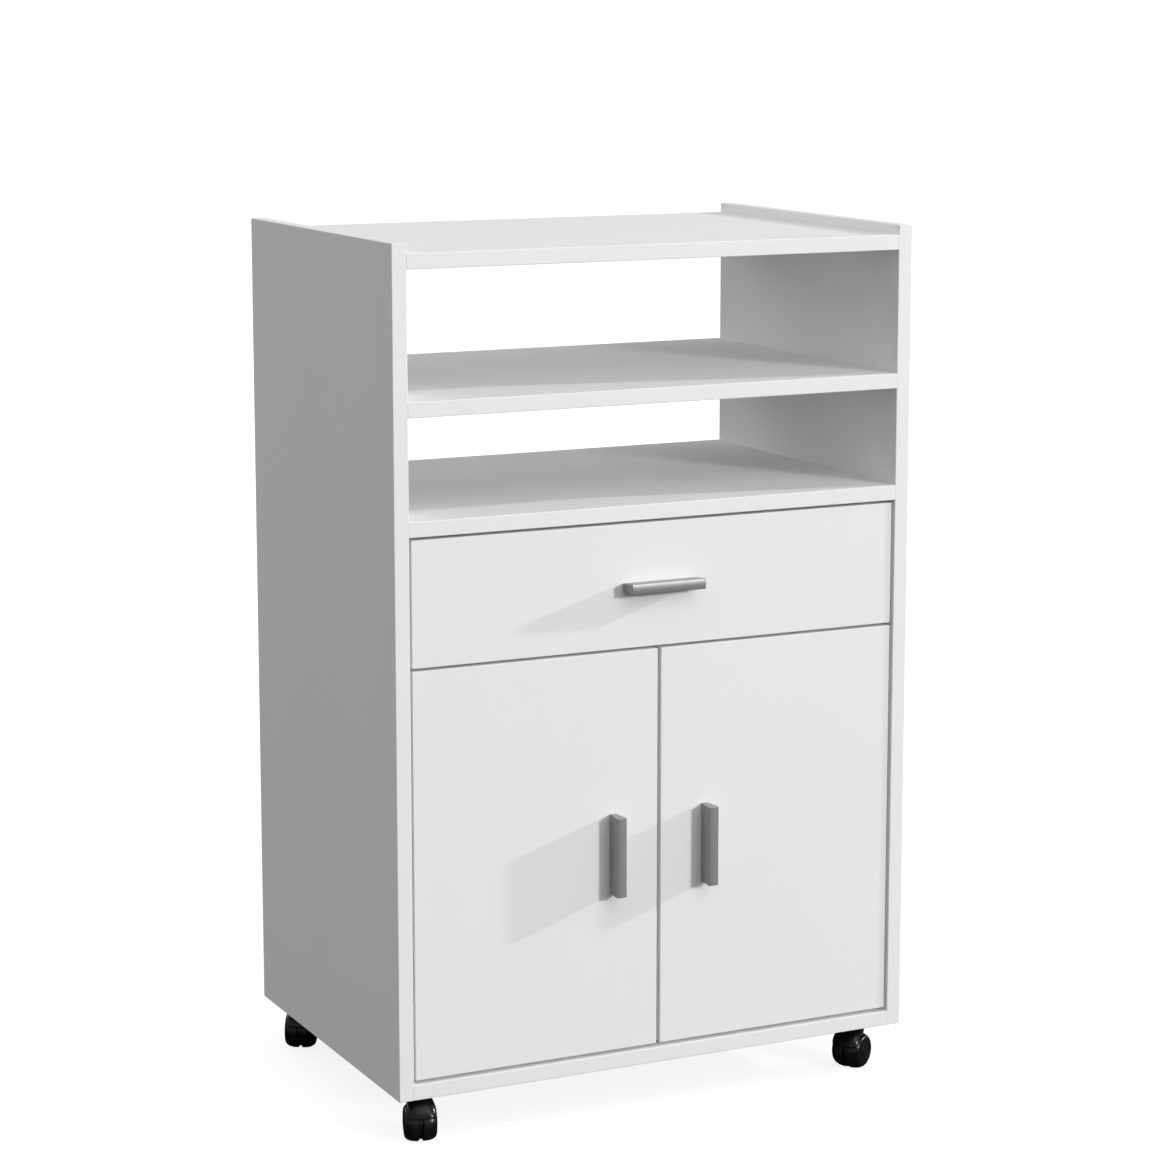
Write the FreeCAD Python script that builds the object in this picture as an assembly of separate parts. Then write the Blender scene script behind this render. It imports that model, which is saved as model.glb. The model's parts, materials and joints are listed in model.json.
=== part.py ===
import FreeCAD, Part
import math
import os

# Microwave cart on casters. Millimetres, +Z up, front towards -Y.
# The origin is on the floor, under the middle of the overall box.

# Carcass
overall_width = 590.0
carcass_depth = 394.0
board = 16.0                      # laminated board
front_opening_height = 563.0      # drawer and doors, between bottom board and deck
lower_bay_height = 103.0
upper_bay_height = 130.0
top_lip = 10.0                    # side panels stand this far above the top
back_thickness = 3.0
back_inset = 10.0                 # groove to rear edges
groove_depth = 6.0
groove_clearance = 0.1

# Drawer front and doors, inset between the side panels
drawer_front_height = 129.5
front_recess = 2.0                # fronts lie behind the board edges
side_gap = 3.0
front_gap = 3.0                   # above and below the drawer front
door_floor_gap = 4.0
door_meeting_gap = 4.0

# Handles
handle_length = 84.5
handle_projection = 22.0
handle_face_width = 11.5
handle_root_width = 7.0
handle_crown = 0.8                # bulge of the front face
handle_screw_spacing = 64.0
handle_thread_depth = 12.0
door_handle_inset = 51.5          # door's meeting edge to the handle's middle
machine_screw_radius = 2.0
machine_head_radius = 4.0
machine_head_height = 2.2

# Drawer box
drawer_board = 12.0
drawer_side_height = 90.0
drawer_back_gap = 23.0            # drawer's rear to the back panel
drawer_box_lift = 10.0            # drawer front's lower edge to the box
drawer_floor_thickness = 3.0
drawer_floor_lift = 12.5
drawer_groove_depth = 5.0

# Roller runners
runner_space = 12.7               # side panel to drawer side
sheet = 1.0                       # steel of the runners
rail_setback = 2.0                # behind the drawer front
rail_flange = 8.5
rail_height = 20.0                # inside the channel
slide_flange_height = 17.0        # above the rail's track
slide_flange_gap = 2.5            # slide flange to side panel
slide_foot = 8.0                  # foot under the drawer side
roller_radius = 8.0
roller_width = 5.0
roller_wall_gap = 3.0             # side panel to roller
roller_end_inset = 12.0           # runner's end to roller's middle
stud_radius = 2.5
stud_shoulder_radius = 4.0
stud_shoulder_gap = 0.1
stud_head_length = 0.8
stud_head_gap = 0.2
rolling_gap = 0.3                 # roller to track
runner_overlap = 90.0             # left between rail and slide when open
stop_height = 5.0
stop_gap = 0.4

# Hinges: a cup in the door, and a goosenecked arm on the side panel
cup_radius = 17.5
cup_depth = 12.5
cup_wall = 0.8
cup_edge = 22.5                   # door's hinge edge to cup's middle
hinge_pivot_edge = 12.0           # door's hinge edge to pivot
hinge_pin_radius = 1.5
hinge_end_inset = 80.0            # door's end to hinge
hinge_arm_width = 12.0
hinge_arm_thickness = 2.5
hinge_eye_radius = 3.0
hinge_cheek_thickness = 1.5
hinge_cheek_radius = 3.4
hinge_cheek_gap = 0.6
hinge_leg_offset = 10.0           # pivot to the leg's near side
hinge_cross_offset = 15.5         # pivot to the crossing's near side
hinge_foot_length = 40.0
hinge_plate_thickness = 2.0
hinge_plate_length = 44.0
hinge_plate_width = 24.0
hinge_plate_setback = 42.0        # pivot to the plate's middle
hinge_screw_spacing = 32.0
cup_flange_thickness = 1.0
cup_flange_length = 54.0
cup_flange_near = 2.0             # cup's middle to the flange's near edge
cup_flange_far = 14.5
cup_plug_radius = 4.0
cup_plug_length = 10.0
cup_plug_spacing = 45.0
cup_plug_offset = 9.5

# Shelf in the cupboard
inner_shelf_height = 200.0        # bottom board to the shelf's underside
inner_shelf_setback = 50.0
inner_shelf_clearance = 1.0
shelf_back_gap = 3.0
shelf_pin_inset = 40.0
shelf_pin_radius = 2.5
shelf_pin_depth = 8.0
shelf_lug_reach = 9.0
shelf_lug_width = 12.0
shelf_lug_thickness = 2.0
shelf_lug_height = 9.0

# Cam fittings and dowels
cam_radius = 7.5
cam_depth = 12.5
cam_setback = 70.0                # board's front and rear edges to the fittings
cam_reach = 34.0                  # board's end to cam's middle
drawer_cam_depth = 9.5
drawer_cam_reach = 24.0
drawer_cam_inset = 26.0           # box's upper and lower edges to the fittings
bolt_thread_radius = 2.5
bolt_thread_length = 10.0
bolt_shank_radius = 3.0
bolt_neck_radius = 2.0
bolt_neck_length = 6.0
bolt_head_radius = 3.4
bolt_head_length = 4.0
fitting_clearance = 0.2
dowel_radius = 4.0
dowel_length = 30.0
dowel_panel_depth = 10.0
dowel_spacing = 32.0              # fitting to dowel

# Countersunk screws
screw_radius = 1.75
screw_head_radius = 3.5
board_screw_length = 13.0
drawer_screw_length = 10.0
drawer_back_screw_length = 30.0
thread_clearance = 0.05
rail_screw_inset = 60.0

# Casters
caster_height = 50.0
caster_side_inset = 34.0          # cart's side to swivel axis
caster_end_inset = 32.0           # cart's front and back to swivel axis
wheel_radius = 20.0
wheel_width = 15.5
wheel_gap = 4.0
wheel_dome = 1.0                  # outer face, rim to middle
wheel_shoulder_width = 12.0
wheel_shoulder_drop = 6.0
wheel_rim = 4.5
wheel_dish_depth = 8.0
wheel_hub_radius = 6.0
wheel_end_wall = 2.5
caster_trail = 13.0
axle_radius = 2.5
axle_end_gap = 0.5
caster_plate_size = 36.0
caster_plate_thickness = 2.0
caster_plate_corner = 3.0
caster_screw_inset = 5.0
caster_screw_length = 14.0
kingpin_radius = 4.0
kingpin_length = 8.0
kingpin_bead = 0.5
kingpin_bead_length = 1.5
hood_top_gap = 0.5
hood_wheel_gap = 0.8
hood_lip = (34.0, 30.0)           # ahead of the swivel axis, above the floor
hood_brow = (29.6, 39.2)
hood_top_front = 22.0
hood_top_rear = 5.8               # behind the swivel axis
hood_neck = (6.4, 45.5)
hood_back = (6.6, 43.0)
hood_lip_inner = 17.5             # axle to where the lip begins
hood_cheek_half = 9.5             # half the length of the sides' lower edge
hood_cheek_level = 38.5
hood_top_half = 10.8              # half widths, at the top, the middle and the lip
hood_middle_half = (14.2, 41.0)
hood_lip_half = 16.6
hood_taper_start = 20.0           # ahead of the swivel axis, where the sides close in
hood_tail_half = 5.5
hood_front_corner = 9.0
hood_side_corner = 16.0
hood_tail_corner = 5.0
web_thickness = 3.4
web_radius = 18.0
stem_half = 11.0
running_clearance = 0.05
caster_turns = {                  # swivel of each caster where the cart stands
    "front_left": -17.0,
    "front_right": -58.0,
    "rear_left": -30.0,
    "rear_right": -41.0,
}

# Levels and planes that follow from these
half_width = overall_width / 2
inner_half = half_width - board
carcass_back = (carcass_depth + handle_projection - front_recess) / 2
carcass_front = carcass_back - carcass_depth
front_face = carcass_front + front_recess
front_rear = front_face + board
bottom_top = caster_height + board
deck_bottom = bottom_top + front_opening_height
deck_top = deck_bottom + board
shelf_bottom = deck_top + lower_bay_height
top_bottom = shelf_bottom + board + upper_bay_height
side_top = top_bottom + board + top_lip
back_front = carcass_back - back_inset - back_thickness
drawer_front_top = deck_bottom - front_gap
drawer_front_bottom = drawer_front_top - drawer_front_height
door_top = drawer_front_bottom - front_gap
door_bottom = bottom_top + door_floor_gap
door_outer = inner_half - side_gap
door_inner = door_meeting_gap / 2
drawer_half = inner_half - runner_space
drawer_rear = back_front - drawer_back_gap
drawer_length = drawer_rear - front_rear
drawer_travel = drawer_length - runner_overlap
drawer_box_bottom = drawer_front_bottom + drawer_box_lift
drawer_box_top = drawer_box_bottom + drawer_side_height
drawer_floor_bottom = drawer_box_bottom + drawer_floor_lift
inner_shelf_bottom = bottom_top + inner_shelf_height
pivot_x = door_outer - hinge_pivot_edge
pivot_y = front_face + board / 2
hinge_levels = (door_bottom + hinge_end_inset, door_top - hinge_end_inset)
track = drawer_box_bottom + sheet
rail_front = front_rear + rail_setback
rail_rear = rail_front + drawer_length

nearly = 0.01                     # two places this close are the same
origin = FreeCAD.Vector(0, 0, 0)
along_x = FreeCAD.Vector(1, 0, 0)
along_y = FreeCAD.Vector(0, 1, 0)
along_z = FreeCAD.Vector(0, 0, 1)


def box(x0, x1, y0, y1, z0, z1):
    return Part.makeBox(x1 - x0, y1 - y0, z1 - z0, FreeCAD.Vector(x0, y0, z0))


def rod(radius, length, start, direction):
    return Part.makeCylinder(radius, length, FreeCAD.Vector(*start), direction)


def placed(shape, position, axis=along_z, angle=0.0):
    """A copy, turned about the origin and then moved."""
    move = FreeCAD.Placement(FreeCAD.Vector(*position), FreeCAD.Rotation(axis, angle))
    copy = shape.copy()
    copy.Placement = move.multiply(shape.Placement)
    return copy


def mirrored(shape):
    """The same piece on the other side of the cart."""
    return shape.mirror(origin, along_x)


def without(shape, cutters):
    """The shape with each cutter that meets it taken away."""
    near = [cutter for cutter in cutters if shape.BoundBox.intersect(cutter.BoundBox)]
    return shape.cut(Part.makeCompound(near)) if near else shape


def save(name, *solids):
    shape = solids[0] if len(solids) == 1 else Part.makeCompound(list(solids))
    shape.exportStep("parts/" + name + ".step")
    print(name, len(shape.Solids), round(shape.Volume / 1000, 2), "cm3")


# Screws. Each lies along +Z with the flat of its head at the origin, shank towards -Z.

def board_screw(length, clearance=0.0):
    """Countersunk, with its head as high as it flares."""
    radius = screw_radius + clearance
    head_height = screw_head_radius - screw_radius
    foot = FreeCAD.Vector(0, 0, -head_height)
    head = Part.makeCone(radius, screw_head_radius + clearance, head_height, foot)
    return head.fuse(rod(radius, length + clearance, (0, 0, 0), -along_z))


def machine_screw(length, clearance=0.0):
    head = rod(machine_head_radius, machine_head_height, (0, 0, 0), along_z)
    shank = rod(machine_screw_radius + clearance, length + clearance, (0, 0, 0), -along_z)
    return head.fuse(shank)


def toward_left(shape, position):
    """A screw that is driven towards -X, with its head at position."""
    return placed(shape, position, along_y, 90.0)


# Cam fittings. The joint's face is at x = 0, with the bolt's thread in the panel at x < 0.

def cam_bolt(reach):
    thread = rod(bolt_thread_radius, bolt_thread_length, (0, 0, 0), -along_x)
    head_start = reach - bolt_head_length / 2
    neck_start = head_start - bolt_neck_length
    shank = rod(bolt_shank_radius, neck_start, (0, 0, 0), along_x)
    neck = rod(bolt_neck_radius, bolt_neck_length, (neck_start, 0, 0), along_x)
    head = rod(bolt_head_radius, bolt_head_length, (head_start, 0, 0), along_x)
    return thread.fuse([shank, neck, head])


def cam_lock(reach, depth, thickness):
    lock = rod(cam_radius, depth, (reach, 0, -thickness / 2), along_z)
    slot = bolt_neck_radius + fitting_clearance
    chamber = bolt_head_radius + fitting_clearance
    chamber_end = bolt_head_length / 2 + fitting_clearance
    neck_slot = box(reach - cam_radius, reach, -slot, slot, -slot, slot)
    head_slot = box(reach - chamber_end, reach + chamber_end, -chamber, chamber, -chamber, chamber)
    mouth_end = reach - bolt_head_length / 2 - bolt_neck_length
    shank_room = bolt_shank_radius + fitting_clearance
    mouth = rod(shank_room, cam_radius, (mouth_end + fitting_clearance, 0, 0), -along_x)
    return lock.cut([neck_slot, head_slot, mouth])


def cam_cutter(reach, depth, thickness):
    """The holes for one fitting, in the panel and in the board."""
    room = fitting_clearance
    thread = rod(bolt_thread_radius + thread_clearance, bolt_thread_length + room, (0, 0, 0), -along_x)
    shank = rod(bolt_head_radius + room, reach, (0, 0, 0), along_x)
    lock = rod(cam_radius + room, depth + room, (reach, 0, -thickness / 2), along_z)
    return thread.fuse([shank, lock])


def dowel(clearance=0.0):
    length = dowel_length + 2 * clearance
    start = -dowel_panel_depth - clearance
    return rod(dowel_radius + clearance, length, (start, 0, 0), along_x)


board_levels = {
    "bottom_board": caster_height,
    "deck_board": deck_bottom,
    "middle_shelf": shelf_bottom,
    "top_board": top_bottom,
}
front_cam_row = carcass_front + cam_setback
rear_cam_row = carcass_back - cam_setback
cam_rows = (front_cam_row, rear_cam_row)
dowel_rows = (front_cam_row + dowel_spacing, rear_cam_row - dowel_spacing)


def at_board_ends(make, rows):
    """Copies of a joint's piece at both ends of every fixed board."""
    copies = []
    for name, level in board_levels.items():
        # The bottom board's fittings face up into the cupboard, clear of the casters.
        turn = 180.0 if name == "bottom_board" else 0.0
        for row in rows:
            left = placed(make(), (-inner_half, row, level + board / 2), along_x, turn)
            copies.append(left)
            copies.append(mirrored(left))
    return copies


def carcass_joints():
    bolts = at_board_ends(lambda: cam_bolt(cam_reach), cam_rows)
    locks = at_board_ends(lambda: cam_lock(cam_reach, cam_depth, board), cam_rows)
    save("cam_fittings", *bolts, *locks)
    save("dowels", *at_board_ends(dowel, dowel_rows))


def carcass_joint_cutters():
    holes = at_board_ends(lambda: cam_cutter(cam_reach, cam_depth, board), cam_rows)
    return holes + at_board_ends(lambda: dowel(fitting_clearance), dowel_rows)


# Back panel and its groove

def back_slab(reach, thickness, front):
    side = inner_half + reach
    return box(-side, side, front, front + thickness, bottom_top - reach, deck_bottom + reach)


def back_groove():
    room = back_thickness + 2 * groove_clearance
    return back_slab(groove_depth, room, back_front - groove_clearance)


# Carcass screws: hinge plates and arms, and runner rails

def hinge_screw_places():
    x = -inner_half + hinge_plate_thickness
    y = pivot_y + hinge_plate_setback
    half = hinge_screw_spacing / 2
    return [(x, y, level + side * half) for level in hinge_levels for side in (-1, 1)]


def arm_screw_places():
    x = -inner_half + hinge_plate_thickness + hinge_arm_thickness
    return [(x, pivot_y + hinge_plate_setback, level) for level in hinge_levels]


def rail_screw_places():
    x = -inner_half + sheet
    z = track + rail_height / 2
    return [(x, y, z) for y in (rail_front + rail_screw_inset, rail_rear - rail_screw_inset)]


def arm_screw(clearance=0.0):
    return machine_screw(hinge_plate_thickness + hinge_arm_thickness, clearance)


def left_cabinet_screws():
    places = hinge_screw_places() + rail_screw_places()
    screws = [toward_left(board_screw(board_screw_length), place) for place in places]
    return screws + [toward_left(arm_screw(), place) for place in arm_screw_places()]


def left_screw_cutters():
    places = hinge_screw_places() + rail_screw_places()
    holes = [toward_left(board_screw(board_screw_length, thread_clearance), place) for place in places]
    return holes + [toward_left(arm_screw(thread_clearance), place) for place in arm_screw_places()]


# Shelf pins: a lug under the shelf, with its pin in the side panel

inner_shelf_front = carcass_front + inner_shelf_setback
inner_shelf_back = back_front - shelf_back_gap
shelf_pin_rows = (inner_shelf_front + shelf_pin_inset, inner_shelf_back - shelf_pin_inset)
shelf_pin_level = inner_shelf_bottom - shelf_lug_height / 2 - shelf_lug_thickness / 2


def shelf_pin(row):
    half = shelf_lug_width / 2
    wall = -inner_half
    top = inner_shelf_bottom
    lug = box(wall, wall + shelf_lug_reach, row - half, row + half, top - shelf_lug_thickness, top)
    upright = box(wall, wall + shelf_lug_thickness, row - half, row + half, top - shelf_lug_height, top)
    pin = rod(shelf_pin_radius, shelf_pin_depth, (wall, row, shelf_pin_level), -along_x)
    return lug.fuse([upright, pin])


def shelf_pin_cutters():
    depth = shelf_pin_depth + fitting_clearance
    radius = shelf_pin_radius + thread_clearance
    return [rod(radius, depth, (-inner_half, row, shelf_pin_level), -along_x) for row in shelf_pin_rows]


# Casters, built with the swivel axis on z and the wheels ahead of it, towards -Y

caster_places = {
    "front_left": (-half_width + caster_side_inset, carcass_front + caster_end_inset),
    "front_right": (half_width - caster_side_inset, carcass_front + caster_end_inset),
    "rear_left": (-half_width + caster_side_inset, carcass_back - caster_end_inset),
    "rear_right": (half_width - caster_side_inset, carcass_back - caster_end_inset),
}
plate_bottom = caster_height - caster_plate_thickness
hood_top = plate_bottom - hood_top_gap
bead_level = plate_bottom - kingpin_length / 2


def caster_screw_places():
    reach = caster_plate_size / 2 - caster_screw_inset
    return [(sx * reach, sy * reach, plate_bottom) for sx in (-1, 1) for sy in (-1, 1)]


def caster_screws(clearance=0.0):
    """The four screws of one caster, driven up into the bottom board."""
    screw = board_screw(caster_screw_length, clearance)
    return [placed(screw, place, along_x, 180.0) for place in caster_screw_places()]


def kingpin(clearance=0.0):
    length = kingpin_length + clearance
    pin = rod(kingpin_radius + clearance, length, (0, 0, plate_bottom), -along_z)
    bead_start = bead_level - kingpin_bead_length / 2 - clearance
    bead_radius = kingpin_radius + kingpin_bead + clearance
    bead = rod(bead_radius, kingpin_bead_length + 2 * clearance, (0, 0, bead_start), along_z)
    return pin.fuse(bead)


def is_upright(edge):
    return abs(edge.tangentAt(edge.FirstParameter).z) > 0.5


def caster_plate():
    half = caster_plate_size / 2
    plate = box(-half, half, -half, half, plate_bottom, caster_height)
    plate = plate.makeFillet(caster_plate_corner, [edge for edge in plate.Edges if is_upright(edge)])
    return plate.fuse(kingpin()).cut(caster_screws(thread_clearance))


def across_wheels(radius, width):
    return rod(radius, width, (-width / 2, -caster_trail, wheel_radius), along_x)


def turned_on_axle(edges):
    outline = Part.Face(Part.Wire(Part.__sortEdges__(edges)))
    return outline.revolve(FreeCAD.Vector(0, -caster_trail, wheel_radius), along_x, 360)


def wheel_shoulder(extra, mirror):
    """The wheel's outer edge, from face to tread, moved outwards by extra. mirror is 1 or -1."""
    shoulder = wheel_gap / 2 + wheel_width - wheel_dome - wheel_shoulder_width
    face_radius = wheel_radius - wheel_shoulder_drop
    middle = on_wheel(mirror * shoulder, face_radius)
    face = on_wheel(mirror * (shoulder + wheel_shoulder_width + extra), face_radius)
    tread = on_wheel(mirror * shoulder, wheel_radius + extra)
    ellipse = Part.Ellipse(face, tread, middle)
    return face, tread, Part.ArcOfEllipse(ellipse, 0, math.pi / 2).toShape()


def on_wheel(x, radius):
    return FreeCAD.Vector(x, -caster_trail, wheel_radius + radius)


def wheel_room():
    """The space that both wheels turn in."""
    right_face, right_tread, right_curve = wheel_shoulder(hood_wheel_gap, 1)
    left_face, left_tread, left_curve = wheel_shoulder(hood_wheel_gap, -1)
    right_side, left_side = on_wheel(right_face.x, 0), on_wheel(left_face.x, 0)
    return turned_on_axle([
        Part.makeLine(left_side, right_side),
        Part.makeLine(right_side, right_face),
        right_curve,
        Part.makeLine(right_tread, left_tread),
        left_curve,
        Part.makeLine(left_face, left_side),
    ])


def hood_from_side():
    """The hood's outline as seen from the side, through its whole width."""
    x = -hood_lip_half

    def at(reach, level):
        return FreeCAD.Vector(x, reach, level)

    front, rear = at(-hood_top_front, hood_top), at(hood_top_rear, hood_top)
    # From the back, along the sides' lower edge and under the lip
    lower = [
        at(*hood_back),
        at(hood_back[0], hood_cheek_level),
        at(-caster_trail - hood_cheek_half, hood_cheek_level),
        at(-caster_trail - hood_lip_inner, hood_lip[1]),
        at(-hood_lip[0], hood_lip[1]),
    ]
    edges = [Part.makeLine(start, end) for start, end in zip(lower, lower[1:])]
    edges.append(Part.Arc(lower[-1], at(-hood_brow[0], hood_brow[1]), front).toShape())
    edges.append(Part.makeLine(front, rear))
    edges.append(Part.Arc(rear, at(*hood_neck), lower[0]).toShape())
    return Part.Face(Part.Wire(edges)).extrude(FreeCAD.Vector(2 * hood_lip_half, 0, 0))


def hood_from_above():
    """The hood's outline from above, wide over the wheels and narrow behind the kingpin."""
    front, rear = -hood_lip[0], hood_back[0]
    right = [(hood_lip_half, front), (hood_lip_half, -hood_taper_start), (hood_tail_half, rear)]
    left = [(-x, y) for x, y in reversed(right)]
    outline = [FreeCAD.Vector(x, y, hood_lip[1]) for x, y in right + left + right[:1]]
    block = Part.Face(Part.makePolygon(outline)).extrude(along_z * (hood_top - hood_lip[1]))
    radii = (hood_front_corner, hood_side_corner, hood_tail_corner)
    for (_, y), radius in zip(right, radii):
        corners = [edge for edge in block.Edges if is_upright(edge) and abs(edge.Vertexes[0].Y - y) < nearly]
        block = block.makeFillet(radius, corners)
    return block


def hood_from_front():
    """The hood's outline as seen from the front, through its whole length."""
    y = -hood_lip[0]

    def at(half, level):
        return FreeCAD.Vector(half, y, level)

    flanks = []
    for mirror in (1, -1):
        flanks.append(Part.Arc(
            at(mirror * hood_top_half, hood_top),
            at(mirror * hood_middle_half[0], hood_middle_half[1]),
            at(mirror * hood_lip_half, hood_lip[1]),
        ).toShape())
    top = Part.makeLine(at(-hood_top_half, hood_top), at(hood_top_half, hood_top))
    bottom = Part.makeLine(at(-hood_lip_half, hood_lip[1]), at(hood_lip_half, hood_lip[1]))
    outline = Part.Face(Part.Wire(Part.__sortEdges__([top, bottom, *flanks])))
    return outline.extrude(FreeCAD.Vector(0, hood_lip[0] + hood_back[0], 0))


def caster_hood():
    block = hood_from_above().common(hood_from_side()).common(hood_from_front())
    shell = block.cut(wheel_room())
    web = across_wheels(web_radius, web_thickness)
    half_web = web_thickness / 2
    stem = box(
        -half_web, half_web,
        -caster_trail - stem_half, -caster_trail + stem_half,
        wheel_radius, 2 * wheel_radius + hood_wheel_gap,
    )
    hood = shell.fuse([web, stem])
    bore = kingpin(running_clearance)
    return hood.cut([bore, across_wheels(axle_radius + running_clearance, web_thickness)])


def caster_axle():
    reach = wheel_gap / 2 + wheel_width - wheel_end_wall - axle_end_gap
    return across_wheels(axle_radius, 2 * reach)


def caster_wheel():
    """The right wheel: a dished disc with a round shoulder and a slightly domed face."""
    inner = wheel_gap / 2
    outer = inner + wheel_width
    bore = axle_radius + running_clearance
    bore_end = outer - wheel_end_wall
    dish = wheel_radius - wheel_rim
    face, tread, curve = wheel_shoulder(0, 1)
    corners = [
        face,
        on_wheel(outer, 0),
        on_wheel(bore_end, 0),
        on_wheel(bore_end, bore),
        on_wheel(inner, bore),
        on_wheel(inner, wheel_hub_radius),
        on_wheel(inner + wheel_dish_depth, wheel_hub_radius),
        on_wheel(inner + wheel_dish_depth, dish),
        on_wheel(inner, dish),
        on_wheel(inner, wheel_radius),
        tread,
    ]
    edges = [Part.makeLine(start, end) for start, end in zip(corners, corners[1:])]
    return turned_on_axle([*edges, curve])


def casters():
    every_screw = []
    for name, (x, y) in caster_places.items():
        turn = caster_turns[name]
        spot = (x, y, 0)
        wheel = caster_wheel()
        save("caster_plate_" + name, placed(caster_plate(), spot))
        save("caster_hood_" + name, placed(caster_hood(), spot, along_z, turn))
        save("caster_axle_" + name, placed(caster_axle(), spot, along_z, turn))
        save("caster_wheel_right_" + name, placed(wheel, spot, along_z, turn))
        save("caster_wheel_left_" + name, placed(mirrored(wheel), spot, along_z, turn))
        every_screw += [placed(screw, spot) for screw in caster_screws()]
    save("caster_screws", *every_screw)


def caster_screw_cutters():
    holes = caster_screws(thread_clearance)
    return [placed(hole, (x, y, 0)) for x, y in caster_places.values() for hole in holes]


# Boards

def boards():
    joints = carcass_joint_cutters()
    left_holes = joints + left_screw_cutters() + shelf_pin_cutters() + [back_groove()]
    side = box(-half_width, -inner_half, carcass_front, carcass_back, caster_height, side_top)
    left = without(side, left_holes)
    save("side_panel_left", left)
    save("side_panel_right", mirrored(left))
    for name, level in board_levels.items():
        slab = box(-inner_half, inner_half, carcass_front, carcass_back, level, level + board)
        cutters = joints + [back_groove()]
        if name == "bottom_board":
            cutters = cutters + caster_screw_cutters()
        save(name, without(slab, cutters))
    save("back_panel", back_slab(groove_depth - groove_clearance, back_thickness, back_front))
    side = inner_half - inner_shelf_clearance
    bottom = inner_shelf_bottom
    save("inner_shelf", box(-side, side, inner_shelf_front, inner_shelf_back, bottom, bottom + board))
    left_pins = [shelf_pin(row) for row in shelf_pin_rows]
    save("shelf_pins", *left_pins, *[mirrored(pin) for pin in left_pins])


# Hinges, built for the left door

def hinge_pin(level):
    half = hinge_arm_width / 2 + hinge_cheek_gap + hinge_cheek_thickness
    return rod(hinge_pin_radius, 2 * half, (-pivot_x, pivot_y, level - half), along_z)


def hinge_arm(level):
    half = hinge_arm_width / 2
    low, high = level - half, level + half
    thin = hinge_arm_thickness
    x, y = -pivot_x, pivot_y
    leg = x + hinge_leg_offset
    cross = y + hinge_cross_offset
    foot = -inner_half + hinge_plate_thickness
    eye = rod(hinge_eye_radius, hinge_arm_width, (x, y, low), along_z)
    bar = box(x, leg + thin, y - thin / 2, y + thin / 2, low, high)
    upright = box(leg, leg + thin, y - thin / 2, cross + thin, low, high)
    crossing = box(foot, leg + thin, cross, cross + thin, low, high)
    sole = box(foot, foot + thin, cross, cross + hinge_foot_length, low, high)
    arm = eye.fuse([bar, upright, crossing, sole]).removeSplitter()
    holes = [toward_left(arm_screw(thread_clearance), place) for place in arm_screw_places()]
    pin_hole = rod(hinge_pin_radius, hinge_arm_width, (x, y, low), along_z)
    return without(arm, holes + [pin_hole])


def hinge_plate(level):
    y = pivot_y + hinge_plate_setback
    across, tall = hinge_plate_width / 2, hinge_plate_length / 2
    plate = box(
        -inner_half, -inner_half + hinge_plate_thickness,
        y - across, y + across, level - tall, level + tall,
    )
    return without(plate, left_screw_cutters())


cup_x = -door_outer + cup_edge
plug_x = cup_x + cup_plug_offset


def plug_levels(level):
    return (level - cup_plug_spacing / 2, level + cup_plug_spacing / 2)


def hinge_cup(level):
    back = front_rear
    shell = rod(cup_radius, cup_depth, (cup_x, back, level), -along_y)
    hollow = rod(cup_radius - cup_wall, cup_depth - cup_wall, (cup_x, back, level), -along_y)
    flange = box(
        cup_x - cup_flange_near, cup_x + cup_flange_far, back, back + cup_flange_thickness,
        level - cup_flange_length / 2, level + cup_flange_length / 2,
    )
    mouth = rod(cup_radius - cup_wall, cup_flange_thickness, (cup_x, back, level), along_y)
    plug = rod(cup_plug_radius, cup_plug_length, (plug_x, back, 0), -along_y)
    plugs = [placed(plug, (0, 0, z)) for z in plug_levels(level)]
    near = hinge_arm_width / 2 + hinge_cheek_gap
    reach = hinge_cheek_radius
    cheeks = []
    for start in (level + near, level - near - hinge_cheek_thickness):
        end = start + hinge_cheek_thickness
        block = box(-pivot_x - reach, -pivot_x + reach, back - cup_depth, pivot_y, start, end)
        knuckle = rod(reach, hinge_cheek_thickness, (-pivot_x, pivot_y, start), along_z)
        cheeks.append(block.fuse(knuckle))
    pin_room = rod(
        hinge_pin_radius + running_clearance, 2 * cup_radius,
        (-pivot_x, pivot_y, level - cup_radius), along_z,
    )
    inner = Part.makeCompound(cheeks).cut(pin_room).common(shell)
    return shell.cut(hollow).fuse([flange.cut(mouth), *plugs, *inner.Solids])


def cup_cutters():
    room = fitting_clearance
    cutters = []
    for level in hinge_levels:
        cutters.append(rod(cup_radius + room, cup_depth + room, (cup_x, front_rear, level), -along_y))
        for z in plug_levels(level):
            radius = cup_plug_radius + thread_clearance
            cutters.append(rod(radius, cup_plug_length + room, (plug_x, front_rear, z), -along_y))
    return cutters


def hinges():
    arms = [hinge_arm(level) for level in hinge_levels]
    plates = [hinge_plate(level) for level in hinge_levels]
    pins = [hinge_pin(level) for level in hinge_levels]
    cups = [hinge_cup(level) for level in hinge_levels]
    save("hinge_arms", *arms, *[mirrored(arm) for arm in arms])
    save("hinge_plates", *plates, *[mirrored(plate) for plate in plates])
    save("hinge_pins", *pins, *[mirrored(pin) for pin in pins])
    save("hinge_cups_left", *cups)
    save("hinge_cups_right", *[mirrored(cup) for cup in cups])
    screws = left_cabinet_screws()
    save("cabinet_screws", *screws, *[mirrored(screw) for screw in screws])


# Handles, built lying along x with the root at y = 0 and the face towards -Y

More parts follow.
